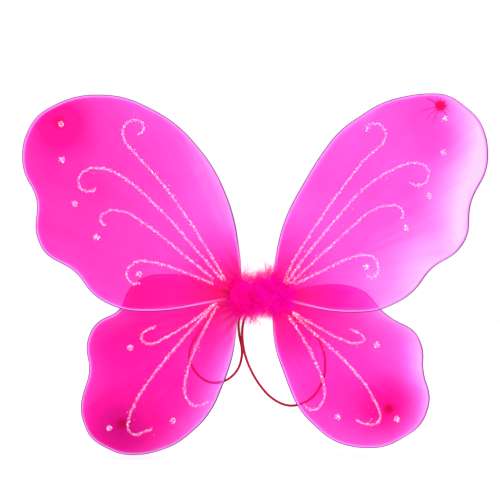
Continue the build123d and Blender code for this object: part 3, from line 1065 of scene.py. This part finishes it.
class WINGS_OT_glitter(Operator):
    """Strew glitter on the glue lines and dots"""

    bl_idname = "wings.glitter"
    bl_label = "Glitter"

    def execute(self, context):
        settings = context.scene.wing_glitter
        glue, flake = glitter_materials(settings)
        tree = glitter_tree()
        for number, wing in enumerate(WINGS):
            for kind, share, spread, size in STREWN:
                node = f"{wing}_glitter_{'dots' if kind == 'dots' else 'scrolls'}"
                dress_node(node, glue)
                carrier = bpy.data.objects.new("glue_copy", frame["nodes"][node].data.copy())
                bpy.context.scene.collection.objects.link(carrier)
                flakes = grown(
                    carrier,
                    tree,
                    {
                        "Density": settings.density * share,
                        "Flake Radius": settings.flake * size,
                        "Scatter": (spread * settings.scatter, 0.12 * MM, spread * settings.scatter),
                        "Seed": 11 + number,
                        "Material": flake,
                    },
                    f"{wing}_{kind}_flakes",
                )
                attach(flakes, f"{wing}_wing")
        return {"FINISHED"}


# --- the middle --------------------------------------------------------------------------------------------
def plume_mesh(settings, seed):
    """One small plume: a bent stem with soft barbs down both sides, standing along z."""
    draw = np.random.default_rng(seed)
    verts, faces, tips = [], [], []

    def needle(points, radii, values):
        """A three-sided needle along points, ending in a tip."""
        first = len(verts)
        for point, radius in zip(points[:-1], radii):
            for angle in (0.0, 2.1, 4.2):
                verts.append(point + radius * np.array([math.cos(angle), math.sin(angle), 0.35 * math.sin(angle)]))
        verts.append(points[-1])
        tips.extend([v for v in values[:-1] for _ in range(3)] + [values[-1]])
        rings = len(points) - 1
        for ring in range(rings - 1):
            for k in range(3):
                a, b = first + 3 * ring + k, first + 3 * ring + (k + 1) % 3
                faces.append((a, b, b + 3, a + 3))
        last = first + 3 * (rings - 1)
        end = first + 3 * rings
        faces.extend((last + k, last + (k + 1) % 3, end) for k in range(3))
        faces.append((first, first + 2, first + 1))

    bend = draw.uniform(0.15, 0.6)
    heights = np.linspace(0, 1, 4)
    stem = np.column_stack(
        [settings.stem * bend * heights**2, 0 * heights, settings.stem * heights * (1 - 0.2 * bend * heights)]
    )
    needle(stem, [0.14 * MM, 0.12 * MM, 0.09 * MM], [0.0, 0.25, 0.55, 0.9])
    for n in range(13):
        up = 0.10 + 0.88 * n / 12
        root = np.array([np.interp(up, heights, stem[:, k]) for k in range(3)])
        swing = n * 2.4 + draw.uniform(-0.4, 0.4)
        reach = settings.barb * (1 - 0.45 * up) * draw.uniform(0.7, 1.1)
        way = np.array([math.cos(swing), math.sin(swing), draw.uniform(0.6, 1.5)])
        needle([root, root + reach * way / np.linalg.norm(way)], [0.12 * MM], [0.15 + 0.4 * up, 1.0])
    plume = new_piece(f"plume_{seed}", verts, faces)
    float_attribute(plume.data, "tip", tips)
    float_attribute(plume.data, "fine", [1.0] * len(tips))
    return plume


def marabou_tree(plumes):
    """Plumes planted all over the wound trim, each leaning its own way."""
    tree, given = new_tree(
        "Planted plumes",
        [("Plumes", "Float", 1e6), ("Seed", "Int", 1), ("Material", "Material", None)]
        + [(f"Plume {n}", "Object", None) for n in range(len(plumes))],
    )
    planted = put(
        tree,
        "GeometryNodeDistributePointsOnFaces",
        {"Mesh": given["Geometry"], "Density": given["Plumes"], "Seed": given["Seed"]},
    )
    kinds = put(tree, "GeometryNodeJoinGeometry")
    for n in range(len(plumes)):
        kind = put(tree, "GeometryNodeObjectInfo", {"Object": given[f"Plume {n}"], "As Instance": True})
        tree.links.new(kind.outputs["Geometry"], kinds.inputs[0])
    lean = put(
        tree, "FunctionNodeEulerToRotation", {0: random_vector(tree, (-0.75, -0.75, -3.1), (0.75, 0.75, 3.1), 3)}
    )
    turn = put(
        tree,
        "FunctionNodeRotateRotation",
        {"Rotation": planted.outputs["Rotation"], "Rotate By": lean.outputs[0]},
        rotation_space="LOCAL",
    )
    which = put(tree, "FunctionNodeRandomValue", data_type="INT")
    which.inputs[4].default_value = 0
    which.inputs[5].default_value = len(plumes) - 1
    lobes = put(tree, "ShaderNodeTexNoise", {"Scale": 60.0, "Detail": 1.0}).outputs[0]
    tufts = put(
        tree,
        "ShaderNodeMapRange",
        {"Value": lobes, "From Min": 0.35, "From Max": 0.65, "To Min": 0.5, "To Max": 1.5},
    )
    grown_plumes = put(
        tree,
        "GeometryNodeInstanceOnPoints",
        {
            "Points": planted.outputs["Points"],
            "Instance": kinds.outputs[0],
            "Pick Instance": True,
            "Instance Index": which.outputs[2],
            "Rotation": turn.outputs[0],
            "Scale": maths(tree, "MULTIPLY", random_number(tree, 0.6, 1.2, 4), tufts.outputs[0]),
        },
    )
    both = put(tree, "GeometryNodeJoinGeometry")
    tree.links.new(given["Geometry"], both.inputs[0])
    tree.links.new(grown_plumes.outputs[0], both.inputs[0])
    end_tree(tree, both.outputs[0], given["Material"])
    return tree


def trim_core(side, settings):
    """Half of the lumpy roll that the plumes grow on: side is -1 left of the middle, +1 right of it."""
    low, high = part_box("marabou_trim")
    middle = np.array([(low.x + high.x) / 2, -2.5 * MM, (low.z + high.z) / 2 - 1 * MM])
    reach = settings.stem * 0.75
    half = np.array([(high.x - low.x) / 2 - reach, 11 * MM, (high.z - low.z) / 2 - reach])
    bands, around = 14, 28
    verts, faces = [], []
    for i in range(bands + 1):
        polar = 0.5 * math.pi * i / bands
        for j in range(around):
            angle = 2 * math.pi * j / around
            lump = 1 + 0.15 * math.sin(3 * angle + 5 * polar + side) - 0.25 * math.exp(-((polar / 0.25) ** 2))
            ring = math.cos(polar) ** 0.8 * lump
            verts.append(
                middle + half * np.array([side * math.sin(polar), ring * math.cos(angle), ring * math.sin(angle)])
            )
    for i in range(bands):
        for j in range(around):
            k = (j + 1) % around
            a, b = i * around, (i + 1) * around
            face = (a + j, a + k, b + k, b + j)
            if verts[a + j][1] < middle[1] + 0.55 * half[1]:
                faces.append(face if side > 0 else face[::-1])
    roll = new_piece("trim_core", verts, faces)
    float_attribute(roll.data, "tip", [0.8] * len(verts))
    float_attribute(roll.data, "fine", [0.0] * len(verts))
    return roll


def flattened(piece, y, share):
    """Press what lies past a plane back towards it."""
    for v in piece.data.vertices:
        if v.co.y > y:
            v.co.y = y + (v.co.y - y) * share


class WINGS_OT_marabou(Operator):
    """Plant the marabou trim over the middle"""

    bl_idname = "wings.marabou"
    bl_label = "Marabou trim"

    def execute(self, context):
        settings = context.scene.wing_marabou
        down = down_material(settings)
        plumes = [plume_mesh(settings, seed) for seed in (21, 22, 23)]
        tree = marabou_tree(plumes)
        for side, word in ((-1, "left"), (1, "right")):
            core = trim_core(side, settings)
            area = sum(face.area for face in core.data.polygons)
            given = {"Plumes": settings.plumes / area, "Seed": 31 + side, "Material": down}
            given |= {f"Plume {n}": plume for n, plume in enumerate(plumes)}
            fluff = grown(core, tree, given, f"marabou_{word}")
            flattened(fluff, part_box("marabou_trim")[1].y, 0.15)
            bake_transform(fluff)
            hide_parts("marabou_trim")
        for plume in plumes:
            bpy.data.objects.remove(plume)
        return {"FINISHED"}


def box_winding(low, high, corner, turns, thread, axis):
    """A thread's path wound round a rounded box about an axis (0 for x, 1 for y, 2 for z)."""
    first, second = [k for k in range(3) if k != axis]
    half = [(high[k] - low[k]) / 2 - thread for k in range(3)]
    middle = [(high[k] + low[k]) / 2 for k in range(3)]
    round_one = np.linspace(0, 2 * math.pi, 49)[:-1]
    path = []
    total = round(turns * len(round_one))
    for n in range(total):
        angle = round_one[n % len(round_one)]
        c, s = math.cos(angle), math.sin(angle)
        point = [0.0] * 3
        point[first] = middle[first] + math.copysign(abs(c) ** corner, c) * half[first]
        point[second] = middle[second] + math.copysign(abs(s) ** corner, s) * half[second]
        point[axis] = middle[axis] - half[axis] + 2 * half[axis] * n / (total - 1)
        path.append(point)
    return np.array(path)


class WINGS_OT_hub(Operator):
    """Wrap the hub in tape and bind each wing's root"""

    bl_idname = "wings.hub"
    bl_label = "Hub and bindings"

    def execute(self, context):
        cloth = woven_material("hub_cloth_tape", (0.72, 0.02, 0.26), (0.40, 0.0, 0.12), scale=900)
        thread = woven_material("binding_thread", (0.80, 0.02, 0.30), (0.35, 0.0, 0.10), scale=2200)
        string = woven_material("core_string", (0.70, 0.03, 0.26), (0.30, 0.0, 0.08), scale=1500)
        low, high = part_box("hub_tape_wrap")
        tall = high.z - low.z
        around, levels = 64, 73
        angles = np.arange(around) * 2 * math.pi / around
        verts, faces = [], []
        for n in range(levels):
            up = n / (levels - 1)
            lapped = np.mod(up * tall / (3 * MM) + angles / (2 * math.pi), 1.0)
            inset = 0.35 * MM * lapped + 1.6 * MM * max(0, abs(2 * up - 1) - 0.88) / 0.12
            for angle, lap in zip(angles, inset):
                c, s = math.cos(angle), math.sin(angle)
                x = math.copysign(abs(c) ** 0.55, c) * ((high.x - low.x) / 2 - lap)
                y = math.copysign(abs(s) ** 0.55, s) * ((high.y - low.y) / 2 - lap)
                verts.append((x, y, low.z + up * tall))
        for n in range(levels - 1):
            for j in range(around):
                k = (j + 1) % around
                a, b = n * around, (n + 1) * around
                faces.append((a + j, a + k, b + k, b + j))
        faces.append(tuple(range(around))[::-1])
        faces.append(tuple(range((levels - 1) * around, levels * around)))
        tape = new_piece("hub_tape", verts, faces)
        dress(tape, cloth)
        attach(tape, "hub")
        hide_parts("hub_tape_wrap")
        dress_node("marabou_core_string", string)

        for wing in WINGS:
            low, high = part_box(f"{wing}_root_binding")
            path = box_winding(low, high, 0.6, 4, 0.22 * MM, 0)
            verts, faces = tube(path, 0.22 * MM, 8)
            bound = new_piece(f"{wing}_binding", verts, faces)
            outward(bound)
            dress(bound, thread)
            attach(bound, f"{wing}_wing")
            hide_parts(f"{wing}_root_binding")
        return {"FINISHED"}


class WINGS_OT_straps(Operator):
    """Hang the two elastic shoulder loops and tie their knots"""

    bl_idname = "wings.straps"
    bl_label = "Shoulder straps"

    def execute(self, context):
        settings = context.scene.wing_elastic
        radius = settings.diameter / 2
        cover = woven_material("elastic_cover", settings.cover, (0.22, 0.0, 0.02), scale=1100, rough=0.55)

        def braid(along, angles):
            """Two sets of yarn that cross as they go round."""
            one = np.cos(8 * angles + along / (0.55 * MM))
            other = np.cos(8 * angles - along / (0.55 * MM))
            return 0.035 * np.maximum(one, other) - 0.03

        for side, word in ((-1, "left"), (1, "right")):
            route = [tuple(MM * k for k in point) for point in STRAP_ROUTES[word]]
            path = points_along(route, 0.4 * MM)
            verts, faces = tube(path, radius, 32, ridge=braid)
            strap = new_piece(f"{word}_strap", verts, faces)
            outward(strap)
            dress(strap, cover)
            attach(strap, "hub")
            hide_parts(f"{word}_shoulder_strap")

            low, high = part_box(f"{word}_strap_knot")
            middle = np.array((low + high) / 2)
            t = np.linspace(0, 2 * math.pi, 181)[:-1]
            trefoil = np.column_stack(
                [np.sin(t) + 2 * np.sin(2 * t), 0.9 * np.sin(3 * t), np.cos(t) - 2 * np.cos(2 * t)]
            )
            knot_path = middle + trefoil * 0.9 * MM
            verts, faces = tube(knot_path, 1.15 * MM, 24, ridge=braid, closed=True)
            knot = new_piece(f"{word}_knot", verts, faces)
            outward(knot)
            dress(knot, cover)
            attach(knot, "hub")
            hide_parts(f"{word}_strap_knot")
        return {"FINISHED"}


# --- stage -------------------------------------------------------------------------------------------------
def area_light(name, place, aim, size, power, tone=(1.0, 1.0, 1.0)):
    """A square soft light that points at a place."""
    data = bpy.data.lights.new(name, "AREA")
    data.size = size
    data.energy = power
    data.color = tone
    made = bpy.data.objects.new(name, data)
    bpy.context.scene.collection.objects.link(made)
    made.location = place
    way = [b - a for a, b in zip(place, aim)]
    made.rotation_euler = Vector(way).to_track_quat("-Z", "Y").to_euler()


class WINGS_OT_stage(Operator):
    """Set the floor, the lights and the camera"""

    bl_idname = "wings.stage"
    bl_label = "Stage"

    def execute(self, context):
        settings = context.scene.wing_stage
        scene = context.scene
        low, _ = CAD_BOX
        around = 96
        angles = np.arange(around) * 2 * math.pi / around
        floor_z = low.z - 6 * MM
        rim = np.column_stack([np.cos(angles), np.sin(angles), np.zeros(around)]) * settings.floor_size
        floor = new_piece("floor", rim + (0, 0, floor_z), [tuple(range(around))])
        pale, tree, output = new_material("pale_floor")
        place = put(tree, "ShaderNodeTexCoord").outputs["Object"]
        cloud = put(tree, "ShaderNodeTexNoise", {"Vector": place, "Scale": 3.0}).outputs["Fac"]
        tone = mixed(tree, cloud, rgba(settings.floor), (0.99, 0.985, 0.985, 1.0))
        body = put(tree, "ShaderNodeBsdfPrincipled", {"Base Color": tone, "Roughness": 0.9})
        tree.links.new(body.outputs[0], output.inputs["Surface"])
        dress(floor, pale)

        world = bpy.data.worlds.new("soft_white")
        scene.world = world
        world.use_nodes = True
        sky = world.node_tree.nodes["Background"]
        sky.inputs["Color"].default_value = (1.0, 0.995, 0.995, 1.0)
        sky.inputs["Strength"].default_value = 1.04
        area_light("key", (0.9, -1.3, 0.9), (0.0, 0.0, 0.0), 0.9, 22)
        area_light("fill", (-1.2, -1.4, 0.4), (0.0, 0.0, 0.0), 1.2, 6)
        area_light("back", (0.2, 1.5, 1.2), (0.0, 0.0, 0.0), 1.2, 12)

        lens = bpy.data.cameras.new("camera")
        lens.sensor_width = 36.0
        lens.lens = lens.sensor_width * settings.distance / settings.view_width
        camera = bpy.data.objects.new("camera", lens)
        scene.collection.objects.link(camera)
        camera.location = (-5.5 * MM, -settings.distance, 48 * MM)
        camera.rotation_euler = (math.pi / 2, 0.0, 0.0)
        scene.camera = camera
        scene.view_settings.view_transform = "Standard"
        return {"FINISHED"}


# --- panel and registration --------------------------------------------------------------------------------
OPERATORS = (
    WINGS_OT_stage,
    WINGS_OT_straps,
    WINGS_OT_wire,
    WINGS_OT_nylon,
    WINGS_OT_gathers,
    WINGS_OT_glitter,
    WINGS_OT_hub,
    WINGS_OT_marabou,
)
SETTINGS = {
    "wing_nylon": NylonSettings,
    "wing_wire": WireSettings,
    "wing_glitter": GlitterSettings,
    "wing_marabou": MarabouSettings,
    "wing_elastic": ElasticSettings,
    "wing_stage": StageSettings,
}


class WINGS_PT_panel(Panel):
    """Buttons for each part of the wings"""

    bl_label = "Fairy Wings"
    bl_idname = "WINGS_PT_panel"
    bl_space_type = "VIEW_3D"
    bl_region_type = "UI"
    bl_category = "Fairy Wings"

    def draw(self, context):
        for operator in OPERATORS:
            self.layout.operator(operator.bl_idname)
        for name in SETTINGS:
            box = self.layout.box()
            settings = getattr(context.scene, name)
            for prop in settings.__annotations__:
                box.prop(settings, prop)


def register():
    """Add the settings, the operators and the panel."""
    for name, group in SETTINGS.items():
        bpy.utils.register_class(group)
        setattr(bpy.types.Scene, name, PointerProperty(type=group))
    for operator in OPERATORS:
        bpy.utils.register_class(operator)
    bpy.utils.register_class(WINGS_PT_panel)


def unregister():
    """Take them away again."""
    bpy.utils.unregister_class(WINGS_PT_panel)
    for operator in reversed(OPERATORS):
        bpy.utils.unregister_class(operator)
    for name, group in SETTINGS.items():
        delattr(bpy.types.Scene, name)
        bpy.utils.unregister_class(group)


def main():
    """Make every piece."""
    register()
    for operator in OPERATORS:
        group, name = operator.bl_idname.split(".")
        getattr(getattr(bpy.ops, group), name)()


if __name__ == "__main__":
    main()
